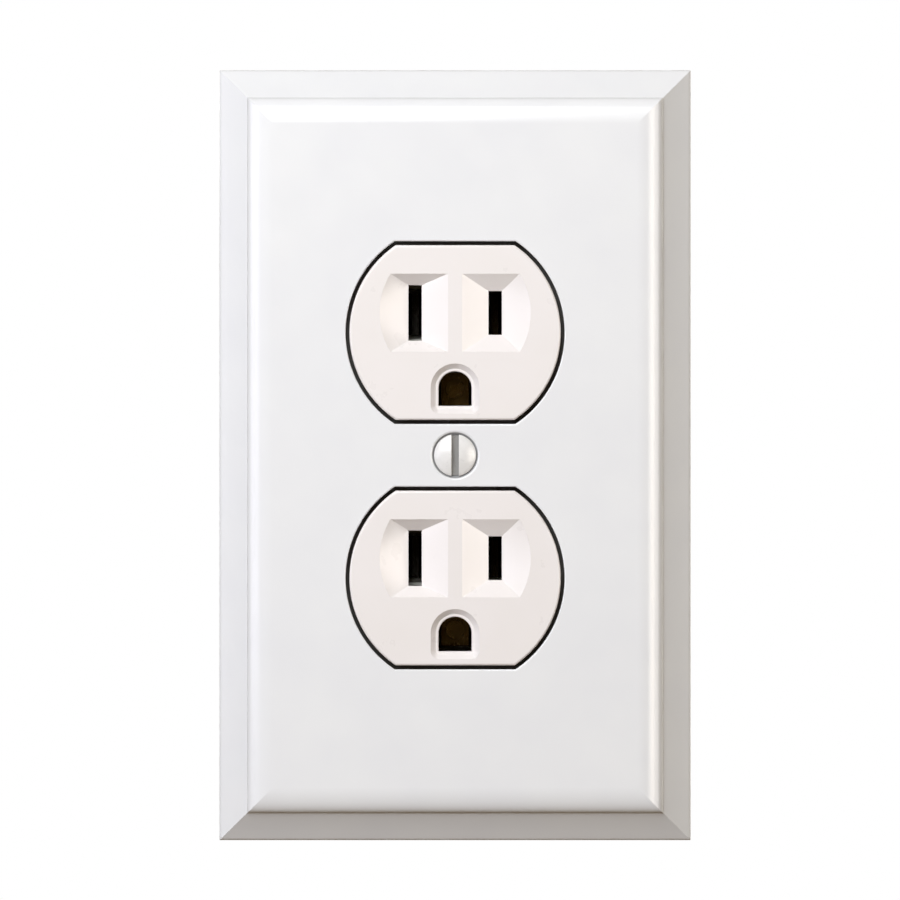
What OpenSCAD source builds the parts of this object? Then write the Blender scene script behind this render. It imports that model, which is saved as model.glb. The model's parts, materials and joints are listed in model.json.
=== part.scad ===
// Duplex wall outlet: a 15 A, 125 V duplex receptacle in its mounting strap, under a one-gang wall plate.
// Millimetres. The wall's surface is the plane Y = 0, the room is at -Y and the wall box is at +Y.
// X runs to the viewer's right and Z up. The screw of the wall plate lies on the Y axis.
// The outlets are polarised: the long neutral slots are at -X and the short hot slots at +X.

/* [Wall plate] */
// Width of the wall plate
plate_w = 75; // [72:0.5:80]
// Height of the wall plate
plate_h = 122.5; // [118:0.5:128]
// How far the plate's face stands off the wall
plate_d = 6.2; // [6:0.1:6.5]
// Thickness of the plate behind its face
plate_t = 2.4; // [2.2:0.1:2.6]
// Width of the sloping band around the plate
band_w = 4.5; // [3.5:0.1:5]
// Height of the crease between the band and the raised shoulder
band_d = 4.5; // [4.2:0.1:4.8]
// Width of the raised shoulder
shoulder_w = 4; // [3:0.1:4.5]
// Radius of the round sides of each opening in the plate
opening_r = 17.35; // [17.2:0.05:17.6]
// Height of each opening between its flats
opening_h = 28.95; // [28.6:0.05:29.4]

/* [Outlets] */
// Distance between the centres of the two outlet faces
pitch = 38.9; // [38.6:0.1:39.2]
// Radius of the round sides of each face
face_r = 16.75; // [16.6:0.05:16.9]
// Height of each face between its flats
face_h = 27.7; // [27.4:0.05:28]
// How far each face stands off the wall
face_d = 6.6; // [6.3:0.1:7]
// Distance between the centrelines of the two blade slots
blade_pitch = 12.7; // [12.6:0.05:12.8]
// Width of both blade slots
slot_w = 2.12; // [2:0.02:2.3]
// Height of the long neutral slot
neutral_slot_h = 8.8; // [8.6:0.1:9]
// Height of the short hot slot
hot_slot_h = 6.95; // [6.8:0.05:7.2]
// Height of the blades' centre above the centre of the face
blade_rise = 3.13; // [3:0.01:3.3]
// Distance from the blades' centre down to the centre of the ground pin
ground_drop = 11.9; // [11.8:0.05:12]
// Radius of the arched ground hole
ground_r = 2.62; // [2.5:0.02:2.7]
// Distance from the ground hole's centre down to its flat bottom
ground_flat = 2.85; // [2.6:0.05:3]

/* [Receptacle body] */
// Width of the front cover
cover_w = 35.6; // [34.8:0.1:36]
// Width of the base
body_w = 33.6; // [33:0.1:34]
// Height of the cover and the base
body_h = 70.4; // [70:0.1:71]
// Depth at which the cover meets the base
parting = 3; // [2.8:0.1:3.2]
// Depth of the back of the base
base_back = 21.5; // [21:0.1:22]

/* [Strap] */
// Thickness of the steel strap
strap_t = 1.3; // [1.2:0.05:1.4]
// Distance between the two mounting screws
mount_pitch = 83.34; // [83:0.02:83.6]
// Length of the strap between the tips of its ears
strap_h = 106.4; // [105:0.2:108]
// Width of the strap across its ears
ear_w = 35.5; // [35:0.5:38]
// Width of the strap behind the base
strap_w = 14; // [13:0.5:15]

/* [Contacts and terminals] */
// Thickness of the brass in the two contact strips
brass_t = 0.8; // [0.7:0.05:0.9]
// Height of each blade contact
contact_h = 6.5; // [6:0.1:6.8]
// Distance from the wall plate's screw to each side terminal
terminal_z = 13.5; // [13.4:0.05:13.6]
// Depth of the side terminals' screws
terminal_y = 9.5; // [9.3:0.05:9.6]
// Depth of the ground terminal's screw
ground_terminal_y = 15.5; // [15:0.1:16]

/* [Screws] */
// Outer radius of the thread of the plate screw and the mounting screws
small_r = 1.72; // [1.68:0.01:1.74]
// Outer radius of the thread of the terminal screws
terminal_r = 2.05; // [2:0.01:2.08]
// Radial clearance between a screw and its tapped hole
tap_gap = 0.08; // [0.05:0.01:0.09]

/* [Hidden] */
$fn = 48;
eps = 0.01;

// Heights that the outlets share
upper_face = pitch / 2;
lower_face = -pitch / 2;
faces_z = [upper_face, lower_face];
blades_z = [for (z = faces_z) z + blade_rise];
grounds_z = [for (z = faces_z) z + blade_rise - ground_drop];
blade_x = blade_pitch / 2;
mount_z = mount_pitch / 2;
assembly_z = 22.4;
terminals_z = [-terminal_z, terminal_z];

// Section of the wall plate
edge_w = 0.5;
edge_d = [0.9, 1.2];
shoulder_steps = 6;
rim_w = 1.65;
cavity_in = 6.3;
plate_profile = concat(
    [[0, 0], [0, edge_d[0]], [edge_w, edge_d[1]], [band_w, band_d]],
    [for (i = [1:shoulder_steps]) let (a = 90 * i / shoulder_steps)
        [band_w + shoulder_w * (1 - cos(a)), band_d + (plate_d - band_d) * sin(a)]]
);
cavity_profile = [[rim_w, -1], [rim_w, 0], [cavity_in, plate_d - plate_t]];
plate_inside = plate_t - plate_d;

// Countersink of the plate and the oval head that sits in it, with a narrow ring around the head
sink_slope = tan(43);
sink_r = 3.65;
plate_hole_r = 2;
head_slope = tan(41);
head_r = 3.36;
head_front = plate_d - 0.1;

// Levels through the receptacle, as depths behind the wall's surface
cover_front = -1.8;
funnel_d = 1.7;
cover_pocket = 1;
arm_y = 14;
pocket_y = 14.7;
strap_front = base_back + 0.1;
strap_back = strap_front + strap_t;
ground_base_y = 19.8;
ground_t = 0.6;

// Pieces that run through the receptacle along Y
fit_gap = 0.05;
insert_r = 2.4;
insert_rim_r = 2.9;
insert_rim_t = 0.6;
assembly_r = 1.4;
assembly_tip = -1.2;
assembly_hole_r = 1.6;
rivet_r = 1;

// Neck of the mounting screws, which the fibre washers grip
mounting_neck_r = 1.45;

// Screwdriver slots and the chamfers at the ends of the threads
driver_slot = 1;
tip_chamfer = 0.6;
terminal_screw_l = 6;

// Positions across the receptacle
pocket_x = [3.75, 14.6];
trough_x = 12.9;
bus_x = [13.5, 14.5];
clamp_x = 14.6;
clamp_t = 1.2;
tab_x = [13.5, 14.8];
tab_front = 10;
shank_end_x = 9.6;

// ---- Helpers ----

// Extrudes an outline drawn in X and Z from depth y0 to depth y1
module slab(y0, y1)
    translate([0, y1, 0]) rotate([90, 0, 0]) linear_extrude(y1 - y0) children();

// Extrudes an outline drawn in Y and Z from x0 to x1
module plate(x0, x1)
    translate([x0, 0, 0]) rotate([90, 0, 90]) linear_extrude(x1 - x0) children();

// A round bar along Y from depth y0, where its radius is r0, to depth y1
module rod(x, z, y0, y1, r0, r1 = undef)
    translate([x, y1, z]) rotate([90, 0, 0])
        cylinder(h = y1 - y0, r1 = is_undef(r1) ? r0 : r1, r2 = r0);

// A round bar along X, pointing to +X
module bar(y, z, x0, x1, r)
    translate([x0, y, z]) rotate([0, 90, 0]) cylinder(h = x1 - x0, r = r);

// A cone along X, whose radius goes from r0 at x0 to r1 at x1
module cone(y, z, x0, x1, r0, r1)
    translate([x0, y, z]) rotate([0, 90, 0]) cylinder(h = x1 - x0, r1 = r0, r2 = r1);

// A block between two corners
module block(a, b)
    translate(a) cube(b - a);

// A rectangle between two corners
module rectangle(a, b)
    translate(a) square(b - a);

// A circle with its top and bottom cut off flat
module flatted(r, h)
    intersection() {
        circle(r);
        square([2 * r + 1, h], center = true);
    }

// A rectangle with round corners
module rounded(w, h, r) {
    square([w - 2 * r, h], center = true);
    square([w, h - 2 * r], center = true);
    for (x = [-1, 1], z = [-1, 1])
        translate([x * (w / 2 - r), z * (h / 2 - r)]) circle(r);
}

// An arch with a flat bottom, as wide as its round top
module arch(r, flat) {
    circle(r);
    translate([-r, -flat]) square([2 * r, flat]);
}

// A profile given from the outer edge inwards, closed into a section that is 2 * half across
function section(profile, half) = concat(
    [for (p = profile) [p[0] - half, p[1]]],
    [for (i = [len(profile) - 1:-1:0]) [half - profile[i][0], profile[i][1]]]
);

// The solid whose four sides follow one profile and meet in mitred corners
module mitred(profile, w, h)
    intersection() {
        translate([0, 0, -h]) linear_extrude(2 * h)
            polygon([for (p = section(profile, w / 2)) [p[0], -p[1]]]);
        plate(-w, w) polygon([for (p = section(profile, h / 2)) [-p[1], p[0]]]);
    }

// A path thickened into a band of sheet metal, with mitred bends
function normal(a, b) = let (d = b - a) [-d[1], d[0]] / norm(d);
function mitre(p, i) = let (
    last = len(p) - 1,
    n1 = normal(p[max(i - 1, 0)], p[max(i, 1)]),
    n2 = normal(p[min(i, last - 1)], p[min(i + 1, last)]),
    s = n1 + n2
) s / (s * s / 2);
function band(p, t) = concat(
    [for (i = [0:len(p) - 1]) p[i] + mitre(p, i) * t / 2],
    [for (i = [len(p) - 1:-1:0]) p[i] - mitre(p, i) * t / 2]
);

// ---- Wall plate ----

module plate_ribs() {
    rib_t = 1;
    rib_h = 1.6;
    rib_x = 22;
    rib_z = 49;
    slab(plate_inside - eps, plate_inside + rib_h) {
        for (x = [-rib_x, rib_x])
            rectangle([x - rib_t / 2, -rib_z], [x + rib_t / 2, rib_z]);
        for (z = [-rib_z, rib_z])
            rectangle([-rib_x, z - rib_t / 2], [rib_x, z + rib_t / 2]);
    }
}

module wall_plate() {
    screw_boss = [3.6, 0.3];
    opening_collar = 0.4;
    color([0.95, 0.95, 0.96]) difference() {
        union() {
            difference() {
                mitred(plate_profile, plate_w, plate_h);
                mitred(cavity_profile, plate_w, plate_h);
            }
            plate_ribs();
            rod(0, 0, plate_inside - eps, plate_inside + screw_boss[1], screw_boss[0]);
            for (z = faces_z) translate([0, 0, z])
                slab(plate_inside - eps, plate_inside + opening_collar)
                    flatted(opening_r + 1, opening_h + 2);
        }
        for (z = faces_z) translate([0, 0, z]) slab(-plate_d - 1, 1) flatted(opening_r, opening_h);
        rod(0, 0, -plate_d - 1, 1, plate_hole_r);
        rod(0, 0, -plate_d, -plate_d + (sink_r - plate_hole_r) / sink_slope, sink_r, plate_hole_r);
    }
}

// ---- Screws ----

// Oval head: a countersunk cone under a low dome, with one straight slot
module plate_screw() {
    tip = 6.5;
    tip_h = 0.6;
    dome = 0.75;
    slot = [1.2, 1];
    neck = (head_r - small_r) / head_slope;
    dome_r = (head_r * head_r + dome * dome) / (2 * dome);
    color([0.93, 0.93, 0.93]) difference() {
        union() {
            rod(0, 0, -head_front, -head_front + neck, head_r, small_r);
            rod(0, 0, -head_front + neck - eps, tip - tip_h, small_r);
            rod(0, 0, tip - tip_h, tip, small_r, small_r - 0.5);
            intersection() {
                translate([0, dome_r - dome - head_front, 0]) sphere(dome_r, $fn = 96);
                rod(0, 0, -head_front - dome - 1, -head_front, head_r);
            }
        }
        block(
            [-slot[0] / 2, -head_front - dome - 1, -head_r - 1],
            [slot[0] / 2, -head_front - dome + slot[1], head_r + 1]
        );
    }
}

// A pan-headed screw along Y with a slotted head towards the room
module mounting_screw(z) {
    head = [3.9, 1.9];
    head_round = 0.6;
    under = -strap_t - fit_gap;
    front = under - head[1];
    thread_start = 1.15;
    tip = 17.7;
    tip_h = 0.8;
    color([0.7, 0.71, 0.73]) translate([0, 0, z]) difference() {
        union() {
            rod(0, 0, front, front + head_round, head[0] - head_round, head[0]);
            rod(0, 0, front + head_round, under, head[0]);
            rod(0, 0, under - eps, thread_start + eps, mounting_neck_r);
            rod(0, 0, thread_start, tip - tip_h, small_r);
            rod(0, 0, tip - tip_h, tip, small_r, small_r - tip_chamfer);
        }
        block([-head[0] - 1, front - 1, -driver_slot / 2], [head[0] + 1, front + 1, driver_slot / 2]);
    }
}

module mounting_screw_upper() mounting_screw(mount_z);
module mounting_screw_lower() mounting_screw(-mount_z);

// The fibre washer that keeps a mounting screw in its slot
module retaining_washer(z) {
    washer_r = 4;
    washer_y = [0.2, 1];
    color([0.55, 0.28, 0.16]) difference() {
        rod(0, z, washer_y[0], washer_y[1], washer_r);
        rod(0, z, washer_y[0] - 1, washer_y[1] + 1, mounting_neck_r + 0.02);
    }
}

module retaining_washer_upper() retaining_washer(mount_z);
module retaining_washer_lower() retaining_washer(-mount_z);

module assembly_screws() {
    head = [2.6, 1.3];
    slot = [0.8, 0.7];
    color([0.7, 0.71, 0.73]) for (z = [-assembly_z, assembly_z]) difference() {
        union() {
            rod(0, z, assembly_tip, strap_back, assembly_r);
            rod(0, z, strap_back, strap_back + head[1], head[0]);
        }
        translate([0, 0, z])
            slab(strap_back + head[1] - slot[1], strap_back + head[1] + 1)
                square([2 * head[0] + 1, slot[0]], center = true);
    }
}

// ---- Front cover ----

// The blade slot and the tapered recess that guides a blade into it, to one side of the face
module blade_entry(side, slot_h) {
    mouth_r = 12;
    mouth_h = 12.4;
    crest = 1.1;
    hull() {
        slab(-face_d - eps, -face_d) intersection() {
            circle(mouth_r, $fn = 32);
            translate([side > 0 ? crest : -mouth_r, -mouth_h / 2]) square([mouth_r - crest, mouth_h]);
        }
        slab(-face_d + funnel_d, -face_d + funnel_d + eps) translate([side * blade_x, 0])
            square([slot_w, slot_h], center = true);
    }
    translate([side * blade_x, 0, 0]) slab(-face_d, parting + 1) square([slot_w, slot_h], center = true);
}

// The arched ground hole, the lip around it and the slope around the lip
module ground_entry() {
    lip = 0.45;
    lip_y = 0.8 - face_d;
    mouth = 1.25;
    hull() {
        slab(-face_d - eps, -face_d) arch(ground_r + mouth, ground_flat + mouth, $fn = 32);
        slab(lip_y, lip_y + eps) arch(ground_r + lip, ground_flat + lip, $fn = 32);
    }
    slab(-face_d, parting + 1) arch(ground_r, ground_flat);
}

module face_cover() {
    blade_pocket = [5.3, neutral_slot_h];
    ground_pocket = [8.4, 6.8];
    color([0.94, 0.93, 0.91]) difference() {
        union() {
            slab(cover_front, parting) rounded(cover_w, body_h, 1.5);
            for (z = faces_z) translate([0, 0, z]) slab(-face_d, cover_front + eps) flatted(face_r, face_h);
        }
        for (z = blades_z) {
            translate([0, 0, z]) blade_entry(-1, neutral_slot_h);
            translate([0, 0, z]) blade_entry(1, hot_slot_h);
            for (x = [-1, 1]) translate([x * (blade_x + 0.05), 0, z])
                slab(cover_pocket, parting + 1) square(blade_pocket, center = true);
        }
        for (z = grounds_z) translate([0, 0, z]) {
            ground_entry();
            slab(cover_pocket, parting + 1) square(ground_pocket, center = true);
        }
        rod(0, 0, cover_front - 1, cover_front + insert_rim_t, insert_rim_r + fit_gap);
        rod(0, 0, cover_front - 1, parting + 1, insert_r + fit_gap);
        for (z = [-assembly_z, assembly_z])
            rod(0, z, assembly_tip - 0.4, parting + 1, assembly_r + fit_gap);
    }
}

// ---- Base ----

// The hollows for one contact strip and its two terminals, on the +X side
module bus_hollow() {
    front = parting - 1;
    pocket_half = 4;
    window_half = 5.3;
    window_back = 14;
    shank_half = 2.6;
    shank_room = [9.4, terminal_y + 2.7];
    wire_hole_r = 1.5;
    wire_hole_x = 15.6;
    wire_hole_z = 3.3;
    fin_room = [12.9, 3.4];
    for (z = blades_z)
        block([pocket_x[0], front, z - pocket_half], [pocket_x[1], pocket_y, z + pocket_half]);
    block(
        [trough_x, front, blades_z[1] - pocket_half],
        [pocket_x[1], pocket_y, blades_z[0] + pocket_half]
    );
    for (z = terminals_z) {
        block([trough_x, front, z - window_half], [body_w, window_back, z + window_half]);
        block([shank_room[0], front, z - shank_half], [trough_x + 1, shank_room[1], z + shank_half]);
        for (side = [-wire_hole_z, wire_hole_z])
            rod(wire_hole_x, z + side, window_back - 1, base_back + 1, wire_hole_r);
    }
    block([trough_x, front, -fin_room[1]], [body_w, fin_room[0], fin_room[1]]);
}

module base() {
    front = parting - 1;
    back = base_back + 1;
    tab_z = grounds_z[1];
    ground_room = [4.6, 3.2];
    tab_half = 5.3;
    shank_half = 2.6;
    color([0.86, 0.86, 0.84]) difference() {
        slab(parting, base_back) rounded(body_w, body_h, 1.5);
        bus_hollow();
        mirror([1, 0, 0]) bus_hollow();
        for (z = grounds_z) {
            block(
                [-ground_room[0], front, z - ground_room[1]],
                [ground_room[0], ground_base_y + ground_t / 2 + 0.1, z + ground_room[1]]
            );
            rod(0, z, ground_base_y - 1, back, rivet_r + 0.1);
        }
        block([-body_w, tab_front - 1, tab_z - tab_half], [0.1 - tab_x[0], back, tab_z + tab_half]);
        block(
            [-tab_x[0] - 1, ground_terminal_y - shank_half, tab_z - shank_half],
            [-shank_end_x, back, tab_z + shank_half]
        );
        rod(0, 0, front, back, insert_r + fit_gap);
        for (z = [-assembly_z, assembly_z]) rod(0, z, front, back, assembly_hole_r);
    }
}

// ---- Mounting strap and its fastenings ----

// One ear in X and Z, from the leg outwards: a tongue with break-off wings at its end
module ear() {
    leg_z = body_h / 2 + 0.1;
    wing_z = 45.2;
    wing_end = strap_h / 2 - 2.4;
    tongue = 20;
    tip = [14, 6];
    slot_r = 2.1;
    slot_shift = 1.6;
    wing_hole = [3.6, 2.8, 1.6];
    notch = 1.1;
    difference() {
        union() {
            rectangle([-tongue / 2, leg_z], [tongue / 2, strap_h / 2 - 1.2]);
            rectangle([-ear_w / 2, wing_z], [ear_w / 2, wing_end]);
            translate([0, strap_h / 2 - tip[1] / 2]) rounded(tip[0], tip[1], 1.5);
        }
        for (x = [-slot_shift, slot_shift]) translate([x, mount_z]) circle(slot_r);
        rectangle([-slot_shift, mount_z - slot_r], [slot_shift, mount_z + slot_r]);
        for (x = [-1, 1]) {
            translate([x * (ear_w / 2 - wing_hole[0]), wing_z + wing_hole[1]]) circle(wing_hole[2]);
            for (z = [wing_z, wing_end])
                translate([x * (tongue / 2 + 0.6), z]) rotate(45) square(notch, center = true);
        }
    }
}

module mounting_strap() {
    leg_z = body_h / 2 + 0.1;
    leg_half = strap_w / 2;
    tab_z = grounds_z[1];
    tab_half = 4.5;
    color([0.72, 0.73, 0.75]) difference() {
        union() {
            for (side = [0, 1]) mirror([0, 0, side]) {
                slab(-strap_t, 0) ear();
                block([-leg_half, -strap_t, leg_z], [leg_half, strap_back, leg_z + strap_t]);
            }
            slab(strap_front, strap_back) {
                rectangle([-leg_half, -leg_z - strap_t], [leg_half, leg_z + strap_t]);
                rectangle([-tab_x[1], tab_z - tab_half], [0, tab_z + tab_half]);
            }
            block([-tab_x[1], tab_front, tab_z - tab_half], [-tab_x[0], strap_back, tab_z + tab_half]);
        }
        rod(0, 0, strap_front - 1, strap_back + 1, insert_r + fit_gap);
        for (z = [-assembly_z, assembly_z])
            rod(0, z, strap_front - 1, strap_back + 1, assembly_hole_r);
        for (z = grounds_z) rod(0, z, strap_front - 1, strap_back + 1, rivet_r + fit_gap);
        bar(ground_terminal_y, tab_z, -tab_x[1] - 1, 1 - tab_x[0], terminal_r + tap_gap);
    }
}

// The tapped tube that takes the screw of the wall plate and clamps the strap to the body
module center_insert() {
    flange = [3.4, 0.9];
    color([0.78, 0.62, 0.33]) difference() {
        union() {
            rod(0, 0, cover_front, cover_front + insert_rim_t, insert_rim_r);
            rod(0, 0, cover_front, strap_back + flange[1], insert_r);
            rod(0, 0, strap_back, strap_back + flange[1], flange[0]);
        }
        rod(0, 0, cover_front - 1, strap_back + 2, small_r + tap_gap);
    }
}

module ground_rivets() {
    foot_front = ground_base_y - ground_t / 2;
    front_head = [1.6, 0.4];
    back_head = [1.8, 0.7];
    color([0.78, 0.62, 0.33]) for (z = grounds_z) {
        rod(0, z, foot_front - front_head[1], foot_front, front_head[0]);
        rod(0, z, foot_front - eps, strap_back + eps, rivet_r);
        rod(0, z, strap_back, strap_back + back_head[1], back_head[0]);
    }
}

// ---- Contacts ----

// A pair of spring leaves around one blade, joined by an arm to the side strip, on the +X side
module blade_contact(z) {
    root = [1.95, 10.5];
    pinch = [0.95, 5.2];
    flare = [1.85, 1.8];
    half_t = brass_t / 2;
    translate([0, 0, z - contact_h / 2]) linear_extrude(contact_h) {
        for (s = [-1, 1])
            translate([blade_x, 0]) polygon(band(
                [[s * root[0], arm_y], [s * root[0], root[1]], [s * pinch[0], pinch[1]],
                 [s * flare[0], flare[1]]],
                brass_t
            ));
        rectangle([blade_x - root[0] - half_t, arm_y - half_t], [bus_x[1], arm_y + half_t]);
    }
}

// The strip along one side of the body: two terminal pads and the break-off fin between them
module side_strip() {
    back = arm_y + brass_t / 2;
    pad = [terminal_y - 4.2, 4.9];
    middle = [7.2, 11.8];
    rail = 10.4;
    fin = [2.1, 0.5, 2.2];
    break_z = 2.9;
    break_y = [6.6, 10.6];
    break_cut = [1.8, 0.35];
    difference() {
        union() {
            plate(bus_x[0], bus_x[1]) {
                for (z = terminals_z) rectangle([pad[0], z - pad[1]], [back, z + pad[1]]);
                rectangle([middle[0], -terminal_z], [middle[1], terminal_z]);
                rectangle([rail, terminal_z], [back, blades_z[0] + contact_h / 2]);
                rectangle([rail, blades_z[1] - contact_h / 2], [back, -terminal_z]);
            }
            block(
                [bus_x[1] - eps, terminal_y - fin[1], -fin[2]],
                [bus_x[1] + fin[0], terminal_y + fin[1], fin[2]]
            );
        }
        plate(bus_x[0] - 1, bus_x[1] + 1)
            for (z = [-break_z, break_z], y = break_y)
                rectangle([y, z - break_cut[1]], [y + break_cut[0], z + break_cut[1]]);
        for (z = terminals_z) bar(terminal_y, z, bus_x[0] - 1, bus_x[1] + 1, terminal_r + tap_gap);
    }
}

module bus() {
    side_strip();
    for (z = blades_z) blade_contact(z);
}

module hot_bus() color([0.80, 0.62, 0.30]) bus();
module neutral_bus() color([0.76, 0.74, 0.68]) mirror([1, 0, 0]) bus();

// Two springy sides around the ground pin on a riveted foot
module ground_contact(z) {
    half = 2.55;
    h = 5.2;
    straight = 8;
    pinch = 6;
    flare = [3.5, 3.6];
    foot = [half + ground_t / 2, h / 2];
    color([0.80, 0.64, 0.34]) difference() {
        union() {
            for (s = [-1, 1]) translate([0, 0, z - h / 2]) linear_extrude(h)
                polygon(band(
                    [[s * half, ground_base_y], [s * half, straight], [s * half, pinch],
                     [s * flare[0], flare[1]]],
                    ground_t
                ));
            translate([0, 0, z])
                slab(ground_base_y - ground_t / 2, ground_base_y + ground_t / 2)
                    rectangle([-foot[0], -foot[1]], [foot[0], foot[1]]);
        }
        rod(0, z, ground_base_y - 1, ground_base_y + 1, rivet_r + fit_gap);
    }
}

module ground_contact_upper() ground_contact(grounds_z[0]);
module ground_contact_lower() ground_contact(grounds_z[1]);

// ---- Terminals ----

// A pressure plate that holds a wire against a pad, on the +X side
module clamp_plate(y, z, x, size)
    difference() {
        plate(x, x + clamp_t) translate([y, z]) rounded(size[0], size[1], 0.8);
        bar(y, z, x - 1, x + clamp_t + 1, terminal_r + tap_gap);
    }

// A slotted binding screw that points to -X, with its head resting on the pressure plate
module terminal_screw(y, z, x) {
    head = [4, 2.1];
    head_round = [0.5, 0.6];
    under = x + clamp_t + fit_gap;
    top = under + head[1];
    tip = under - terminal_screw_l;
    difference() {
        union() {
            bar(y, z, under, top - head_round[0], head[0]);
            cone(y, z, top - head_round[0], top, head[0], head[0] - head_round[1]);
            bar(y, z, tip + tip_chamfer, under + eps, terminal_r);
            cone(y, z, tip, tip + tip_chamfer + eps, terminal_r - tip_chamfer, terminal_r);
        }
        block([top - 1.1, y - 5, z - driver_slot / 2], [top + 1, y + 5, z + driver_slot / 2]);
    }
}

// A hexagonal head of the ground screw, with the same slot
module ground_screw_body(y, z, x) {
    head = [4.4, 2.4];
    under = x + clamp_t + fit_gap;
    top = under + head[1];
    difference() {
        union() {
            translate([under, y, z]) rotate([0, 90, 0]) cylinder(h = head[1], r = head[0], $fn = 6);
            bar(y, z, under - terminal_screw_l, under + eps, terminal_r);
        }
        block([top - 1, y - 5, z - driver_slot / 2], [top + 1, y + 5, z + driver_slot / 2]);
    }
}

side_clamp = [8.4, 9.8];
ground_clamp_size = [8.4, 8.6];
brass = [0.80, 0.62, 0.30];
nickel = [0.76, 0.75, 0.72];
green = [0.16, 0.45, 0.26];

module hot_clamp_upper() color(nickel) clamp_plate(terminal_y, terminal_z, clamp_x, side_clamp);
module hot_clamp_lower() color(nickel) clamp_plate(terminal_y, -terminal_z, clamp_x, side_clamp);
module hot_screw_upper() color(brass) terminal_screw(terminal_y, terminal_z, clamp_x);
module hot_screw_lower() color(brass) terminal_screw(terminal_y, -terminal_z, clamp_x);
module neutral_clamp_upper() mirror([1, 0, 0]) hot_clamp_upper();
module neutral_clamp_lower() mirror([1, 0, 0]) hot_clamp_lower();
module neutral_screw_upper()
    color(nickel) mirror([1, 0, 0]) terminal_screw(terminal_y, terminal_z, clamp_x);
module neutral_screw_lower()
    color(nickel) mirror([1, 0, 0]) terminal_screw(terminal_y, -terminal_z, clamp_x);
module ground_clamp()
    color(nickel) mirror([1, 0, 0])
        clamp_plate(ground_terminal_y, grounds_z[1], tab_x[1] + 0.1, ground_clamp_size);
module ground_screw()
    color(green) mirror([1, 0, 0]) ground_screw_body(ground_terminal_y, grounds_z[1], tab_x[1] + 0.1);

// ---- The nodes ----

wall_plate();
plate_screw();
face_cover();
base();
mounting_strap();
center_insert();
assembly_screws();
hot_bus();
neutral_bus();
ground_contact_upper();
ground_contact_lower();
ground_rivets();
hot_clamp_upper();
hot_clamp_lower();
neutral_clamp_upper();
neutral_clamp_lower();
ground_clamp();
hot_screw_upper();
hot_screw_lower();
neutral_screw_upper();
neutral_screw_lower();
ground_screw();
mounting_screw_upper();
mounting_screw_lower();
retaining_washer_upper();
retaining_washer_lower();
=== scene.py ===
import json
import math

import bmesh
import bpy
from mathutils import Matrix, Vector


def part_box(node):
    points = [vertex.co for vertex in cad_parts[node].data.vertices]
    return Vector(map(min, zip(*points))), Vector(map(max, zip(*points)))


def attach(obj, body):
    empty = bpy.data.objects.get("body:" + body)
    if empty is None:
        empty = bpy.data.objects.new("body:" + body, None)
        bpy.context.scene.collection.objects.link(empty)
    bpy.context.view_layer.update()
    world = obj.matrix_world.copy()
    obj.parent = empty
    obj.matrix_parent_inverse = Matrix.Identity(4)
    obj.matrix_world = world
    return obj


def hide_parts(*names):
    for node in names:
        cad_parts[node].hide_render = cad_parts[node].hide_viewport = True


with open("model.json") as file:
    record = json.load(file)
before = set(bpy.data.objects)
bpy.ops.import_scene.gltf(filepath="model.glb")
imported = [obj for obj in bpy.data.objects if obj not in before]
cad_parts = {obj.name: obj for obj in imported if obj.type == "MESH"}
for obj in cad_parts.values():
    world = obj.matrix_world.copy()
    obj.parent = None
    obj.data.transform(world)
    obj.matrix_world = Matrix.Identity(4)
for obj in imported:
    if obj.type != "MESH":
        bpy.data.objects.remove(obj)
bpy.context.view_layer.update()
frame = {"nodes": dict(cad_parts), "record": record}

# Shapes are built in millimetres and then scaled: the wall is Y = 0 and the room is at -Y
toMetres = Matrix.Scale(0.001, 4)
faceAngle = math.radians(90)
hair = 0.01  # too little to see, but it gives a shade an edge to start at
slotReach = 5  # half the length of a screwdriver slot's cutter, more than any head's radius
slotSoft = 0.08  # how far a screwdriver slot's edges are softened


def colour(code):
    channels = [int(code[i:i + 2], 16) / 255 for i in (1, 3, 5)]
    linear = [c / 12.92 if c <= 0.04045 else ((c + 0.055) / 1.055) ** 2.4 for c in channels]
    return linear + [1.0]


def addNode(tree, kind, settings=None, sockets=None, links=None):
    node = tree.nodes.new("ShaderNode" + kind)
    for name, value in (settings or {}).items():
        setattr(node, name, value)
    for name, value in (sockets or {}).items():
        node.inputs[name].default_value = value
    for name, source in (links or {}).items():
        tree.links.new(source, node.inputs[name])
    return node


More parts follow.
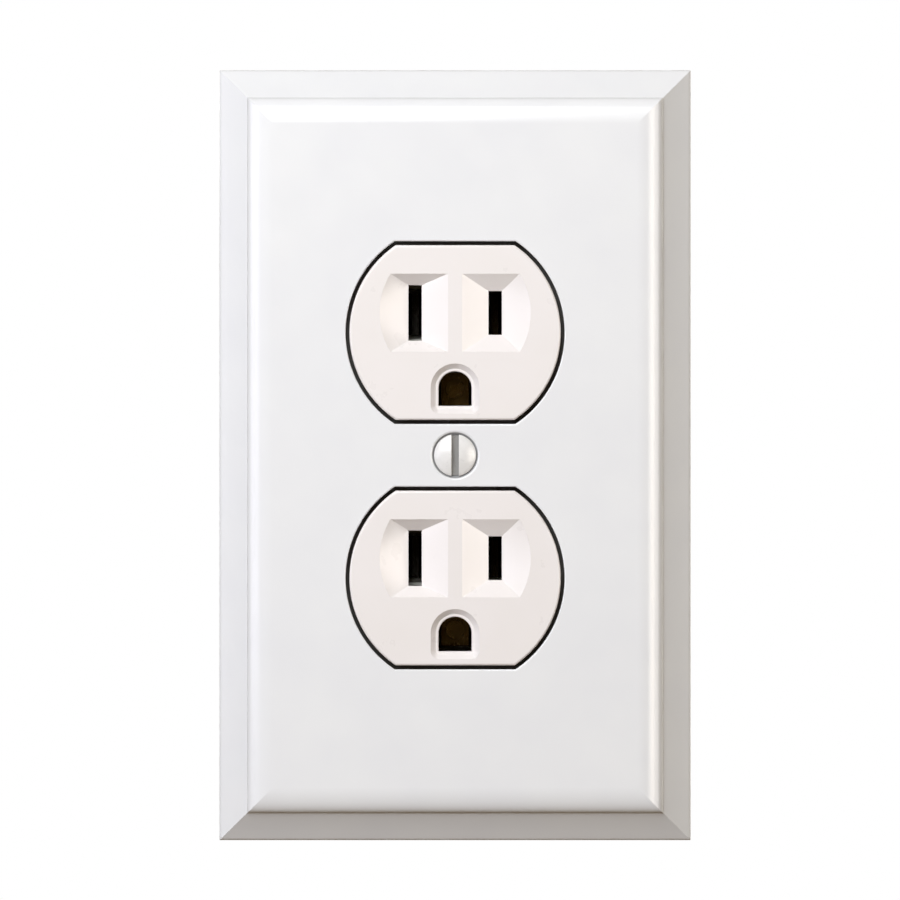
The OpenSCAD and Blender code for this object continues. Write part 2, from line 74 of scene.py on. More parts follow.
# Builds a finish from its values: two tones over one pattern, a gloss that varies over a second
# and a relief over a third. Sizes are the patterns' periods in millimetres, and stretch multiplies
# them along X, Y and Z. A piece's shade attribute mixes the shade colour into its gaps and slots:
# a painted shade where light is lost
def surfaceFinish(name, finish):
    material = bpy.data.materials.new(name)
    material.use_nodes = True
    tree = material.node_tree
    surface = tree.nodes["Principled BSDF"]
    for socket, value in finish["sockets"].items():
        surface.inputs[socket].default_value = value
    place = addNode(tree, "TexCoord").outputs["Object"]
    patterns, ranged = {}, {}
    for use in ("tone", "gloss", "relief"):
        if use not in finish:
            continue
        values = {"detail": 3, "stretch": (1, 1, 1), "between": (0.3, 0.7), "range": (0, 1)}
        values.update(finish[use])
        scale = [1000 / values["size"] / s for s in values["stretch"]]
        scaled = addNode(tree, "Mapping", sockets={"Scale": scale}, links={"Vector": place}).outputs[0]
        if values.get("crystals"):
            cells = addNode(tree, "TexVoronoi", {"feature": "F1"}, {"Scale": 1.0}, {"Vector": scaled})
            pattern = addNode(tree, "SeparateColor", links={"Color": cells.outputs["Color"]})
        else:
            pattern = addNode(tree, "TexNoise", sockets={"Scale": 1.0, "Detail": values["detail"]},
                              links={"Vector": scaled})
        patterns[use] = pattern.outputs[0]
        if use != "relief":
            limits = {"From Min": values["between"][0], "From Max": values["between"][1],
                      "To Min": values["range"][0], "To Max": values["range"][1]}
            spread = addNode(tree, "MapRange", sockets=limits, links={"Value": patterns[use]})
            ranged[use] = spread.outputs[0]
    tones = {6: colour(finish["light"]), 7: colour(finish["dark"])}
    base = addNode(tree, "Mix", {"data_type": "RGBA"}, tones, {0: ranged["tone"]}).outputs[2]
    # Painted shade: the shade colour is mixed in as far as the piece's attribute marks a gap or slot
    if "shade" in finish:
        recess = addNode(tree, "Attribute", {"attribute_name": "recess"}).outputs["Fac"]
        base = addNode(tree, "Mix", {"data_type": "RGBA"}, {7: colour(finish["shade"])},
                       {0: recess, 6: base}).outputs[2]
    tree.links.new(base, surface.inputs["Base Color"])
    if "gloss" in finish:
        tree.links.new(ranged["gloss"], surface.inputs["Roughness"])
    if "relief" in finish:
        height = {"Strength": 1.0, "Distance": finish["relief"]["depth"] / 1000}
        bump = addNode(tree, "Bump", sockets=height, links={"Height": patterns["relief"]})
        tree.links.new(bump.outputs[0], surface.inputs["Normal"])
    return material


# Moulded plastic: a polished mould leaves a gloss with a faint waviness, an eroded one a dull grain
def mouldedPlastic(light, dark, gloss, depth, grain=2.2):
    # The shade colour is painted shade for gaps and slots
    return {"sockets": {"IOR": 1.5}, "light": light, "dark": dark, "shade": "#14110E",
            "tone": {"size": 9, "detail": 2},
            "gloss": {"size": 4, "detail": 4, "range": gloss},
            "relief": {"size": grain, "detail": 2, "depth": depth}}


# Rolled or turned metal: fine streaks along one direction under a thin, patchy tarnish.
# Real streaks are too fine to show, so they are drawn a quarter of a millimetre wide
def workedMetal(clean, tarnished, gloss, streak=(1, 1, 8), tarnish=0.8):
    # The shade colour is painted shade for metal deep in a slot
    return {"sockets": {"Metallic": 1.0}, "light": clean, "dark": tarnished, "shade": "#0D0B08",
            "tone": {"size": 3.5, "detail": 4, "between": (0.45, 0.75), "range": (0, tarnish)},
            "gloss": {"size": 0.25, "detail": 2, "stretch": streak, "range": gloss},
            "relief": {"size": 0.25, "detail": 2, "stretch": streak, "depth": 0.004}}


# Galvanised sheet: zinc crystals of a few millimetres, each with a tone and gloss of its own
galvanisedSteel = {
    "sockets": {"Metallic": 1.0}, "light": "#B9BEC4", "dark": "#8D949C",
    "tone": {"size": 3.846, "crystals": True, "between": (0, 1)},
    "gloss": {"size": 3.846, "crystals": True, "between": (0, 1), "range": (0.32, 0.5)},
    "relief": {"size": 0.6, "depth": 0.012},
}

# Enamel on a steel head: a smooth coat with a slight orange peel, and a painted shade on the slot's floor and
# under the head
whiteEnamel = {
    "sockets": {"IOR": 1.5, "Coat Weight": 0.4, "Coat Roughness": 0.12},
    "light": "#F1F1F2", "dark": "#E9E9EA", "shade": "#3C3935",
    "tone": {"size": 1.4},
    "gloss": {"size": 0.9, "range": (0.26, 0.38)},
    "relief": {"size": 0.5, "detail": 2, "depth": 0.006},
}

# Dyed zinc: the green of a ground screw, paler where the dye is thin
greenDyedZinc = {
    "sockets": {"Metallic": 0.75}, "light": "#1F6A40", "dark": "#3F8A5C",
    "tone": {"size": 1.6, "detail": 4},
    "gloss": {"size": 0.5, "range": (0.28, 0.46)},
    "relief": {"size": 0.3, "detail": 2, "depth": 0.004},
}

# Vulcanised fibre: pressed paper with short fibres and a dull surface
vulcanisedFibre = {
    "sockets": {"IOR": 1.5}, "light": "#7A3520", "dark": "#52200F",
    "tone": {"size": 0.35, "detail": 4, "stretch": (6, 1, 1.5)},
    "gloss": {"size": 0.35, "detail": 4, "stretch": (6, 1, 1.5), "range": (0.7, 0.9)},
    "relief": {"size": 0.35, "detail": 4, "stretch": (6, 1, 1.5), "depth": 0.02},
}

finishes = {
    "glossUreaPlate": mouldedPlastic("#F2F4F8", "#EFF1F6", (0.14, 0.2), 0.003),
    "glossNylonFace": mouldedPlastic("#F4F0F1", "#F2EEEE", (0.27, 0.32), 0.003),
    "matteNylonBase": mouldedPlastic("#DCDBD4", "#D3D2CA", (0.5, 0.62), 0.012, 0.3),
    "galvanisedSteel": galvanisedSteel,
    "rolledBrass": workedMetal("#D9B36A", "#A67C3C", (0.24, 0.4)),
    "turnedBrass": workedMetal("#DDB870", "#B98E48", (0.2, 0.34), (6, 1, 6), 0.5),
    "nickelPlate": workedMetal("#CFCABF", "#A9A396", (0.22, 0.36), (1, 1, 8), 0.6),
    "zincPlate": workedMetal("#C6CAD0", "#A6A79C", (0.26, 0.42), (3, 1, 3), 0.7),
    "whiteEnamel": whiteEnamel,
    "greenDyedZinc": greenDyedZinc,
    "vulcanisedFibre": vulcanisedFibre,
}
materials = {name: surfaceFinish(name, finish) for name, finish in finishes.items()}
print("materials made:", len(materials))


# Turns a shape drawn in X and Y so that it lies in X and Z and faces the room
def facing(depth, x=0.0, z=0.0):
    return Matrix.Translation((x, depth, z)) @ Matrix.Rotation(faceAngle, 4, "X")


def discFace(bm, radius, depth, x=0.0, z=0.0, segments=96):
    made = bmesh.ops.create_circle(bm, cap_ends=True, cap_tris=False, radius=radius, segments=segments,
                                   matrix=facing(depth, x, z))
    return made["verts"][0].link_faces[0]


# A rectangle between two corners in X and Z, with its four corners rounded from the lower left on
def roundedFace(bm, low, high, depth, radii=(0, 0, 0, 0), segments=8):
    before = set(bm.faces)
    centre = [(a + b) / 2 for a, b in zip(low, high)]
    size = Matrix.Diagonal((high[0] - low[0], high[1] - low[1], 1, 1))
    made = bmesh.ops.create_grid(bm, x_segments=1, y_segments=1, size=0.5,
                                 matrix=facing(depth, centre[0], centre[1]) @ size)
    signs = [(-1, -1), (1, -1), (1, 1), (-1, 1)]
    corners = [max(made["verts"], key=lambda v: v.co.x * sx + v.co.z * sz) for sx, sz in signs]
    for corner, radius in zip(corners, radii):
        if radius > 0:
            bmesh.ops.bevel(bm, geom=[corner], affect="VERTICES", offset=radius, segments=segments,
                            profile=0.5, material=-1)
    face = [f for f in bm.faces if f not in before][0]
    bmesh.ops.remove_doubles(bm, verts=face.verts[:], dist=1e-3)
    return [f for f in bm.faces if f not in before][0]


# A disc with flats at the top and bottom
def flattedFace(bm, radius, height, depth, z):
    face = discFace(bm, radius, depth, 0, z, 160)
    geom = [face] + list(face.edges) + list(face.verts)
    for side in (-1, 1):
        geom = [g for g in geom if g.is_valid]
        made = bmesh.ops.bisect_plane(bm, geom=geom, plane_co=(0, depth, z + side * height / 2),
                                      plane_no=(0, 0, side), clear_outer=True, dist=1e-5)
        geom = made["geom"]
    bmesh.ops.remove_doubles(bm, verts=bm.verts[:], dist=0.05)
    return bm.faces[:][0]


# Moves a face along a profile of (inset, rise) steps, leaving a ring of walls behind it
def followProfile(bm, face, profile):
    last = (0.0, 0.0)
    for inset, rise in profile:
        if inset - last[0] > 1e-6:
            bmesh.ops.inset_region(bm, faces=[face], thickness=inset - last[0], depth=rise - last[1],
                                   use_even_offset=True, use_boundary=True)
        else:
            towards = face.normal.copy() * (rise - last[1])
            made = bmesh.ops.extrude_face_region(bm, geom=[face])["geom"]
            old = face
            face = [g for g in made if isinstance(g, bmesh.types.BMFace)][0]
            bmesh.ops.translate(bm, verts=list(face.verts), vec=towards)
            if old.is_valid:
                bmesh.ops.delete(bm, geom=[old], context="FACES_ONLY")
            face.normal_update()
        last = (inset, rise)
    return face


# A quarter round that starts along the surface (in) or along the wall (out)
def quarterRound(radius, steps, start=(0.0, 0.0), rising=False):
    points = []
    for i in range(1, steps + 1):
        a = math.radians(90 * i / steps)
        step = (1 - math.cos(a), math.sin(a)) if rising else (math.sin(a), 1 - math.cos(a))
        points.append((start[0] + radius * step[0], start[1] + radius * step[1]))
    return points


# Closes every open end, turns the normals outwards and makes an object still in millimetres
def closeShape(bm, name):
    bmesh.ops.remove_doubles(bm, verts=bm.verts[:], dist=1e-5)
    bmesh.ops.holes_fill(bm, edges=bm.edges[:], sides=0)
    bmesh.ops.recalc_face_normals(bm, faces=bm.faces[:])
    mesh = bpy.data.meshes.new(name)
    bm.to_mesh(mesh)
    bm.free()
    shape = bpy.data.objects.new(name, mesh)
    bpy.context.scene.collection.objects.link(shape)
    return shape


def block(low, high, soft=0.0, name="block"):
    bm = bmesh.new()
    size = Vector(high) - Vector(low)
    middle = (Vector(high) + Vector(low)) / 2
    bmesh.ops.create_cube(bm, size=1, matrix=Matrix.Translation(middle) @ Matrix.Diagonal((*size, 1)))
    if soft > 0:
        bmesh.ops.bevel(bm, geom=bm.edges[:], affect="EDGES", offset=soft, segments=2, profile=0.5,
                        material=-1)
    return closeShape(bm, name)


# A profile of (radius, depth) points turned about the Y axis through (x, z)
def turned(points, x=0.0, z=0.0, steps=64, name="turned"):
    bm = bmesh.new()
    verts = [bm.verts.new((r, y, 0)) for r, y in points]
    edges = [bm.edges.new(pair) for pair in zip(verts, verts[1:])]
    bmesh.ops.spin(bm, geom=verts + edges, cent=(0, 0, 0), axis=(0, 1, 0), dvec=(0, 0, 0),
                   angle=math.tau, steps=steps, use_merge=True)
    bmesh.ops.translate(bm, verts=bm.verts[:], vec=(x, 0, z))
    return closeShape(bm, name)


# A screw thread about the Y axis between two depths: one pitch of its profile, spun along a helix
def helix(crest, root, pitch, start, end, steps=28):
    bm = bmesh.new()
    points = [(root, 0.0), (root, 0.12), (crest, 0.44), (crest, 0.56), (root, 0.88), (root, 1.0)]
    verts = [bm.verts.new((r, start - pitch * (1 - share), 0)) for r, share in points]
    edges = [bm.edges.new(pair) for pair in zip(verts, verts[1:])]
    turns = math.ceil((end - start) / pitch) + 1
    bmesh.ops.spin(bm, geom=verts + edges, cent=(0, 0, 0), axis=(0, 1, 0), dvec=(0, pitch / steps, 0),
                   angle=math.tau * turns, steps=steps * turns, use_merge=False)
    bmesh.ops.remove_doubles(bm, verts=bm.verts[:], dist=1e-4)
    for depth, side in ((start, -1), (end, 1)):
        bmesh.ops.bisect_plane(bm, geom=bm.verts[:] + bm.edges[:] + bm.faces[:], plane_co=(0, depth, 0),
                               plane_no=(0, side, 0), clear_outer=True, dist=1e-5)
    return closeShape(bm, "helix")


# Applies Booleans in order: each tool is (operation, object)
def carve(target, tools):
    for operation, tool in tools:
        modifier = target.modifiers.new("carve", "BOOLEAN")
        modifier.solver = "EXACT"
        modifier.operation = operation
        modifier.object = tool
    bpy.context.view_layer.update()
    solved = target.evaluated_get(bpy.context.evaluated_depsgraph_get())
    mesh = bpy.data.meshes.new_from_object(solved)
    target.modifiers.clear()
    old = target.data
    target.data = mesh
    bpy.data.meshes.remove(old)
    for _, tool in tools:
        data = tool.data
        bpy.data.objects.remove(tool)
        bpy.data.meshes.remove(data)
    return target


def cut(*tools):
    return [("DIFFERENCE", tool) for tool in tools]


def add(*tools):
    return [("UNION", tool) for tool in tools]


# Scales a finished shape to metres, shades it, ties it to its body and finish, and hides the CAD nodes it
# stands for
def finishPiece(shape, name, nodes, body, material, turn=None, soft=0.0, angle=32):
    mesh = shape.data
    shape.name = name
    mesh.name = name
    if turn is not None:
        mesh.transform(turn)
    mesh.transform(toMetres)
    bm = bmesh.new()
    bm.from_mesh(mesh)
    bmesh.ops.remove_doubles(bm, verts=bm.verts[:], dist=2e-7)
    bmesh.ops.dissolve_degenerate(bm, edges=bm.edges[:], dist=1e-7)
    bmesh.ops.dissolve_limit(bm, angle_limit=math.radians(0.4), verts=bm.verts[:], edges=bm.edges[:])
    bmesh.ops.recalc_face_normals(bm, faces=bm.faces[:])
    bm.to_mesh(mesh)
    bm.free()
    mesh.shade_smooth()
    mesh.set_sharp_from_angle(angle=math.radians(angle))
    mesh.materials.clear()
    mesh.materials.append(material)
    if soft > 0:
        bevel = shape.modifiers.new("softEdges", "BEVEL")
        bevel.width = soft / 1000
        bevel.segments = 2
        bevel.limit_method = "ANGLE"
        bevel.angle_limit = math.radians(angle)
        bevel.use_clamp_overlap = True
        bevel.harden_normals = False
        weighted = shape.modifiers.new("weightedNormals", "WEIGHTED_NORMAL")
        weighted.keep_sharp = False
    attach(shape, body)
    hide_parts(*nodes)
    return shape


# Keeps wide flat faces flat: their edges stay sharp, however slight the angle
def besideFlat(edge):
    return any(abs(face.normal.y) > 0.99999 and face.calc_area() > 1e-5 for face in edge.link_faces)


def sharpenEdges(shape, isSharp):
    bm = bmesh.new()
    bm.from_mesh(shape.data)
    for edge in bm.edges:
        if isSharp(edge):
            edge.smooth = False
    bm.to_mesh(shape.data)
    bm.free()


# Stores how much painted shade each corner of a shape gets in a gap or slot, from 0 to 1
def markPaintedShade(shape, shadeAt):
    recess = shape.data.attributes.new("recess", "FLOAT", "POINT")
    for vertex, entry in zip(shape.data.vertices, recess.data):
        entry.value = shadeAt(vertex.co * 1000)


# A copy of a CAD node in millimetres, merged so that its edges can be softened
def copyNode(node):
    bm = bmesh.new()
    bm.from_mesh(frame["nodes"][node].data)
    bmesh.ops.remove_doubles(bm, verts=bm.verts[:], dist=1e-6)
    bmesh.ops.scale(bm, verts=bm.verts[:], vec=(1000, 1000, 1000))
    return closeShape(bm, node + "Copy")


bodyOf = {}
for bodyName, members in frame["record"]["behaviour"]["bodies"].items():
    for member in members:
        bodyOf[member] = bodyName


plateValues = {
    "edge": [(0.02, 0.75), (0.07, 0.93), (0.2, 1.06), (0.5, 1.26)],  # inset and height of its round rim
    "bandWidth": 4.5, "bandHeight": 4.5, "shoulderWidth": 4.0, "shoulderSteps": 16,
    "rim": 1.65, "cavity": 6.3, "thickness": 2.4,
    "ribX": 22.0, "ribZ": 49.0, "ribWidth": 1.0, "ribHeight": 1.55,
    "bossRadius": 3.6, "bossHeight": 0.3, "collar": 0.4, "collarWidth": 1.0,
    "openingRadius": 17.35, "openingHeight": 28.95, "lip": 0.25,
    "sinkRadius": 3.65, "sinkDepth": 1.77, "screwHole": 2.0, "pitch": 38.9,
    "openingShade": 0.9, "sinkShade": 0.6,
}


def wallPlate(values):
    low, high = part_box("wall_plate")
    half, depth = Vector((high.x, high.z)) * 1000, -low.y * 1000
    rise = depth - values["bandHeight"]
    shoulder = []
    for i in range(1, values["shoulderSteps"] + 1):
        a = math.radians(90 * i / values["shoulderSteps"])
        shoulder.append((values["bandWidth"] + values["shoulderWidth"] * (1 - math.cos(a)),
                         values["bandHeight"] + rise * math.sin(a)))
    bm = bmesh.new()
    front = roundedFace(bm, -half, half, 0.0)
    followProfile(bm, front, values["edge"] + [(values["bandWidth"], values["bandHeight"])] + shoulder)
    hollow = roundedFace(bm, -half, half, 0.0)
    back = depth - values["thickness"]
    followProfile(bm, hollow, [(values["rim"], 0), (values["rim"] + 0.5, 0.5), (values["cavity"], back - 0.2),
                               (values["cavity"] + 0.3, back)])
    plate = closeShape(bm, "wallPlate")

    # Stiffening ribs, the boss around the screw and a collar around each opening, all inside
    tools = []
    inner = -back
    ribX, ribZ, ribHalf = values["ribX"], values["ribZ"], values["ribWidth"] / 2
    root, crest = inner - 0.5, inner + values["ribHeight"]
    for sign in (-1, 1):
        tools += add(block((sign * ribX - ribHalf, root, -ribZ), (sign * ribX + ribHalf, crest, ribZ)))
        end = ribX + 0.4
        tools += add(block((-end, root, sign * ribZ - ribHalf), (end, crest, sign * ribZ + ribHalf)))
    bossTop = inner + values["bossHeight"]
    boss = values["bossRadius"]
    tools += add(turned([(0, root), (boss, root), (boss, bossTop), (0, bossTop)]))
    for sign in (-1, 1):
        bm = bmesh.new()
        wider = values["collarWidth"]
        collar = flattedFace(bm, values["openingRadius"] + wider, values["openingHeight"] + 2 * wider,
                             inner + values["collar"], sign * values["pitch"] / 2)
        followProfile(bm, collar, [(0, values["collar"] + 0.5)])
        tools += add(closeShape(bm, "collar"))

    # Both openings with rounded lips, and the countersunk hole
    lip = values["lip"]
    for sign in (-1, 1):
        bm = bmesh.new()
        mouth = flattedFace(bm, values["openingRadius"] + lip, values["openingHeight"] + 2 * lip,
                            -depth - 0.002, sign * values["pitch"] / 2)
        if mouth.normal.y < 0:
            bmesh.ops.reverse_faces(bm, faces=[mouth])
        walls = [(lip + hair, lip + 0.5), (lip + hair, depth + 1)]
        followProfile(bm, mouth, quarterRound(lip, 6) + walls)
        tools += cut(closeShape(bm, "opening"))
    sinkRadius, hole = values["sinkRadius"], values["screwHole"]
    sink = [(0, -depth - 1), (sinkRadius + 0.25, -depth - 1), (sinkRadius + 0.25, -depth - 0.001),
            (sinkRadius + 0.06, -depth + 0.06), (sinkRadius - 0.06, -depth + 0.17),
            (hole, -depth + values["sinkDepth"]), (hole, 1), (0, 1)]
    tools += cut(turned(sink, steps=96))
    carve(plate, tools)
    finishPiece(plate, "wallPlate", ["wall_plate"], "cover_plate",
                materials["glossUreaPlate"])

    # The four sides of the plate meet in crisp mitres, which lie above and below the openings
    def alongMitre(edge):
        run = edge.verts[1].co - edge.verts[0].co
        return abs(run.x) > 1e-6 and abs(run.z) > 1e-6 and abs(edge.verts[0].co.z) > 0.05

    sharpenEdges(plate, lambda edge: besideFlat(edge) or alongMitre(edge))

    # Painted shade on the walls of both openings behind their rounded lips, and in the countersink around the
    # screw
    def shadeAt(place):
        reach = values["openingRadius"] + 0.2
        inside = math.hypot(place.x, abs(place.z) - values["pitch"] / 2) < reach
        if inside and place.y > lip + 0.3 - depth:
            return values["openingShade"]
        sunk = math.hypot(place.x, place.z) < sinkRadius and place.y > 0.1 - depth
        return values["sinkShade"] if sunk else 0.0

    markPaintedShade(plate, shadeAt)


wallPlate(plateValues)
print("wall plate made")


coverValues = {
    "faceRadius": 16.75, "faceHeight": 27.7, "rim": 0.35,
    "bodyCorner": 1.5, "bodyFront": -1.8, "bodyRound": 0.3,
    "bladeX": 6.35, "bladeRise": 3.13, "groundDrop": 11.9,
    "slotWidth": 2.12, "neutralHeight": 8.8, "hotHeight": 6.95,
    "mouthRadius": 12.0, "mouthHeight": 12.4, "crest": 1.1, "funnelDepth": 1.7,
    "ledgeWidth": 1.06, "ledgeShort": 0.75, "ledgeRise": 0.22,
    "groundRadius": 2.62, "groundFlat": 2.85, "lip": 0.45, "slopeDepth": 0.8,
    "mouth": 1.25, "mouthCorner": 1.35,
    "pocketFront": 1.0, "pocketShift": 0.05,
    "bladePocket": (2.65, 4.4), "groundPocket": (4.2, 3.4),  # half width and half height
    "insertRadius": 2.45, "insertRim": (2.95, 0.6),  # the rim's radius and depth
    "assemblyZ": 22.4, "assemblyHole": (1.45, -1.6),  # the hole's radius and front
    "stepWidth": 0.9, "gapShade": 0.93,
}


# The tapered recess around a slot: the hull of its mouth on the face and of the slot below
def funnel(values, side, slotHeight, front, z):
    bm = bmesh.new()
    disc = discFace(bm, values["mouthRadius"], front - 0.01, 0, z, 80)
    geom = [disc] + list(disc.edges) + list(disc.verts)
    cuts = [((side * values["crest"], 0, 0), (-side, 0, 0))]
    cuts += [((0, 0, z + s * values["mouthHeight"] / 2), (0, 0, s)) for s in (-1, 1)]
    for point, normal in cuts:
        geom = [g for g in geom if g.is_valid]
        geom = bmesh.ops.bisect_plane(bm, geom=geom, plane_co=point, plane_no=normal, clear_outer=True,
                                      dist=1e-5)["geom"]
    half = Vector((values["slotWidth"] / 2, slotHeight / 2))
    middle = Vector((side * values["bladeX"], z))
    floor = front + values["funnelDepth"]
    roundedFace(bm, middle - half, middle + half, floor)
    if side < 0:
        ledge = Vector((half.x + values["ledgeWidth"], half.y - values["ledgeShort"]))
        roundedFace(bm, middle - ledge, middle + Vector((0, ledge.y)), floor - values["ledgeRise"])
    bmesh.ops.delete(bm, geom=bm.edges[:] + bm.faces[:], context="EDGES_FACES")
    made = bmesh.ops.convex_hull(bm, input=bm.verts[:], use_existing_faces=False)
    inside = [g for g in made["geom_interior"] + made["geom_unused"] if isinstance(g, bmesh.types.BMVert)]
    bmesh.ops.delete(bm, geom=list(set(inside)), context="VERTS")
    return closeShape(bm, "funnel")


def outletCover(values):
    low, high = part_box("face_cover")
    front, parting = low.y * 1000, high.y * 1000
    half = Vector((high.x, high.z)) * 1000
    bodyFront, past = values["bodyFront"], parting + 1
    bm = bmesh.new()
    body = roundedFace(bm, -half, half, parting, [values["bodyCorner"]] * 4, 6)
    soft = values["bodyRound"]
    height = parting - bodyFront - soft
    followProfile(bm, body, [(0, height)] + quarterRound(soft, 3, (0, height), True))
    cover = closeShape(bm, "outletCover")
    tools = []
    pitch = plateValues["pitch"]

    # A hair-thin step under the gap in the plate, where the painted shade ends, and then the two faces
    stepRadius = values["faceRadius"] + values["stepWidth"]
    stepHeight = values["faceHeight"] + 2 * values["stepWidth"] + 0.05
    for sign in (-1, 1):
        bm = bmesh.new()
        step = flattedFace(bm, stepRadius, stepHeight, bodyFront + 0.5, sign * pitch / 2)
        if step.normal.y > 0:
            bmesh.ops.reverse_faces(bm, faces=[step])
        followProfile(bm, step, [(0, 0.5 + hair)])
        tools += add(closeShape(bm, "step"))
    for sign in (-1, 1):
        bm = bmesh.new()
        plug = flattedFace(bm, values["faceRadius"], values["faceHeight"], bodyFront + 1, sign * pitch / 2)
        rise = bodyFront + 1 - front - values["rim"]
        if plug.normal.y > 0:
            bmesh.ops.reverse_faces(bm, faces=[plug])
        followProfile(bm, plug, [(0, rise)] + quarterRound(values["rim"], 6, (0, rise), True))
        tools += add(closeShape(bm, "plug"))

    for sign in (-1, 1):
        z = sign * pitch / 2 + values["bladeRise"]
        for side, slotHeight in ((-1, values["neutralHeight"]), (1, values["hotHeight"])):
            tools += cut(funnel(values, side, slotHeight, front, z))
            slotHalf = Vector((values["slotWidth"] / 2, 0, slotHeight / 2))
            slotFront = Vector((side * values["bladeX"], front - 1, z))
            slotBack = Vector((side * values["bladeX"], past, z))
            tools += cut(block(slotFront - slotHalf, slotBack + slotHalf))
            # A hair wider below its first 0.3 mm, which gives the painted shade an edge to start from
            slotHalf += Vector((hair, 0, hair))
            slotFront.y = front + values["funnelDepth"] + 0.32
            tools += cut(block(slotFront - slotHalf, slotBack + slotHalf))
            pocket = Vector((values["bladePocket"][0], 0, values["bladePocket"][1]))
            middle = Vector((side * (values["bladeX"] + values["pocketShift"]), values["pocketFront"], z))
            tools += cut(block(middle - pocket, Vector((middle.x, past, z)) + pocket))
        ground = z - values["groundDrop"]
        bm = bmesh.new()
        wide = values["groundRadius"] + values["mouth"]
        bottom = values["groundFlat"] + values["mouth"]
        corner = values["mouthCorner"]
        mouth = roundedFace(bm, (-wide, ground - bottom), (wide, ground + wide), front - 0.001,
                            (corner, corner, wide, wide), 20)
        if mouth.normal.y < 0:
            bmesh.ops.reverse_faces(bm, faces=[mouth])
        slope, deep = values["mouth"] - values["lip"], values["slopeDepth"]
        followProfile(bm, mouth, [(slope, deep), (values["mouth"] - 0.12, deep + 0.02),
                                  (values["mouth"], deep + 0.14), (values["mouth"] + hair, deep + 0.8),
                                  (values["mouth"] + hair, past - front)])
        tools += cut(closeShape(bm, "groundHole"))
        pocket = Vector((values["groundPocket"][0], 0, values["groundPocket"][1]))
        middle = Vector((0, values["pocketFront"], ground))
        tools += cut(block(middle - pocket, Vector((0, past, ground)) + pocket))

    # The tapped tube's hole with room for its rim, and the holes for the two assembly screws
    tube, (rim, rimDepth) = values["insertRadius"], values["insertRim"]
    tools += cut(turned([(0, bodyFront - 2.2), (rim, bodyFront - 2.2), (rim, bodyFront + rimDepth),
                         (tube, bodyFront + rimDepth), (tube, past), (0, past)]))
    hole, holeFront = values["assemblyHole"]
    for z in (-values["assemblyZ"], values["assemblyZ"]):
        tools += cut(turned([(0, holeFront), (hole, holeFront), (hole, past), (0, past)], 0, z, 32))
    carve(cover, tools)
    finishPiece(cover, "outletCover", ["face_cover"], "receptacle",
                materials["glossNylonFace"], angle=18)
    sharpenEdges(cover, besideFlat)

    # Painted shade on the walls of the slots and ground holes, and on the floor of the gap around each face
    def shadeAt(place):
        # Height above the middle of the outlet that the place belongs to
        rise = abs(place.z) - pitch / 2 if place.z > 0 else pitch / 2 - abs(place.z)
        across = abs(abs(place.x) - values["bladeX"]) < values["slotWidth"] / 2 + 0.05
        slot = across and abs(rise - values["bladeRise"]) < values["neutralHeight"] / 2 + 0.05
        if slot and place.y > front + values["funnelDepth"] + 0.3:
            return 1.0
        reach = math.hypot(place.x, rise - values["bladeRise"] + values["groundDrop"])
        if reach < values["groundRadius"] + 1.3 and place.y > front + values["slopeDepth"] + 0.7:
            return 1.0
        if place.y < front + 2 or place.y > bodyFront + 0.1:
            return 0.0
        reach, height = math.hypot(place.x, rise), abs(rise) * 2
        foot = abs(reach - values["faceRadius"]) < 0.1 or abs(height - values["faceHeight"]) < 0.2
        edge = abs(reach - stepRadius) < 0.05 or abs(height - stepHeight) < 0.1
        return values["gapShade"] if foot or (edge and place.y < bodyFront - 0.005) else 0.0

    markPaintedShade(cover, shadeAt)


outletCover(coverValues)
print("outlet cover made")


# Builds a screw along Y with its head towards the room, then turns it into place
def screw(name, node, head, slot, shank, material, turn=None):
    bolt = turned(head, steps=72, name=name)
    tools = add(helix(shank["crest"], shank["root"], shank["pitch"], shank["start"], shank["end"]))
    # A plug in the end of the thread carries the chamfered point
    start, core = shank["end"] - 0.02, shank["root"] + 0.05
    tools += add(turned([(0, start - 0.5), (core, start - 0.5), (core, start),
                         (shank["root"] - 0.45, shank["tip"]), (0, shank["tip"])], steps=32))
    tools += cut(block(slot["low"], slot["high"], slotSoft))
    carve(bolt, tools)
    return finishPiece(bolt, name, [node], bodyOf[node], material, turn)


plateScrewValues = {
    "head": 3.36, "front": 6.1, "dome": 0.72, "domeSteps": 12, "underAngle": 41,
    "slotWidth": 1.2, "slotDepth": 1.0, "slotShade": 0.72,
    "crest": 1.71, "root": 1.27, "pitch": 0.794, "tip": 6.5,
}


def plateScrew(values):
    edge, front, dome = values["head"], -values["front"], values["dome"]
    sphere = (edge * edge + dome * dome) / (2 * dome)
    reach = math.asin((edge - 0.08) / sphere)
    head = []
    for i in range(values["domeSteps"] + 1):
        a = reach * i / values["domeSteps"]
        head.append((sphere * math.sin(a), front - dome + sphere * (1 - math.cos(a))))
    neck = front + (edge - values["crest"]) / math.tan(math.radians(values["underAngle"]))
    head += [(edge, front + 0.05), (edge - 0.06, front + 0.14), (values["crest"], neck),
             (values["root"] + 0.1, neck + 0.4), (values["root"] + 0.1, neck + 1), (0, neck + 1)]
    half = values["slotWidth"] / 2
    slot = {"low": (-half, front - dome - 1, -slotReach),
            "high": (half, front - dome + values["slotDepth"], slotReach)}
    shank = {"crest": values["crest"], "root": values["root"], "pitch": values["pitch"],
             "start": neck + 0.6, "end": values["tip"] - 0.7, "tip": values["tip"]}
    bolt = screw("plateScrew", "plate_screw", head, slot, shank, materials["whiteEnamel"])

    # Painted shade on the slot's floor and the head's underside
    def shadeAt(place):
        floor = abs(place.x) < half + 0.05 and place.y > slot["high"][1] - 0.15
        return values["slotShade"] if floor or place.y > front + 0.04 else 0.0

    markPaintedShade(bolt, shadeAt)


plateScrew(plateScrewValues)

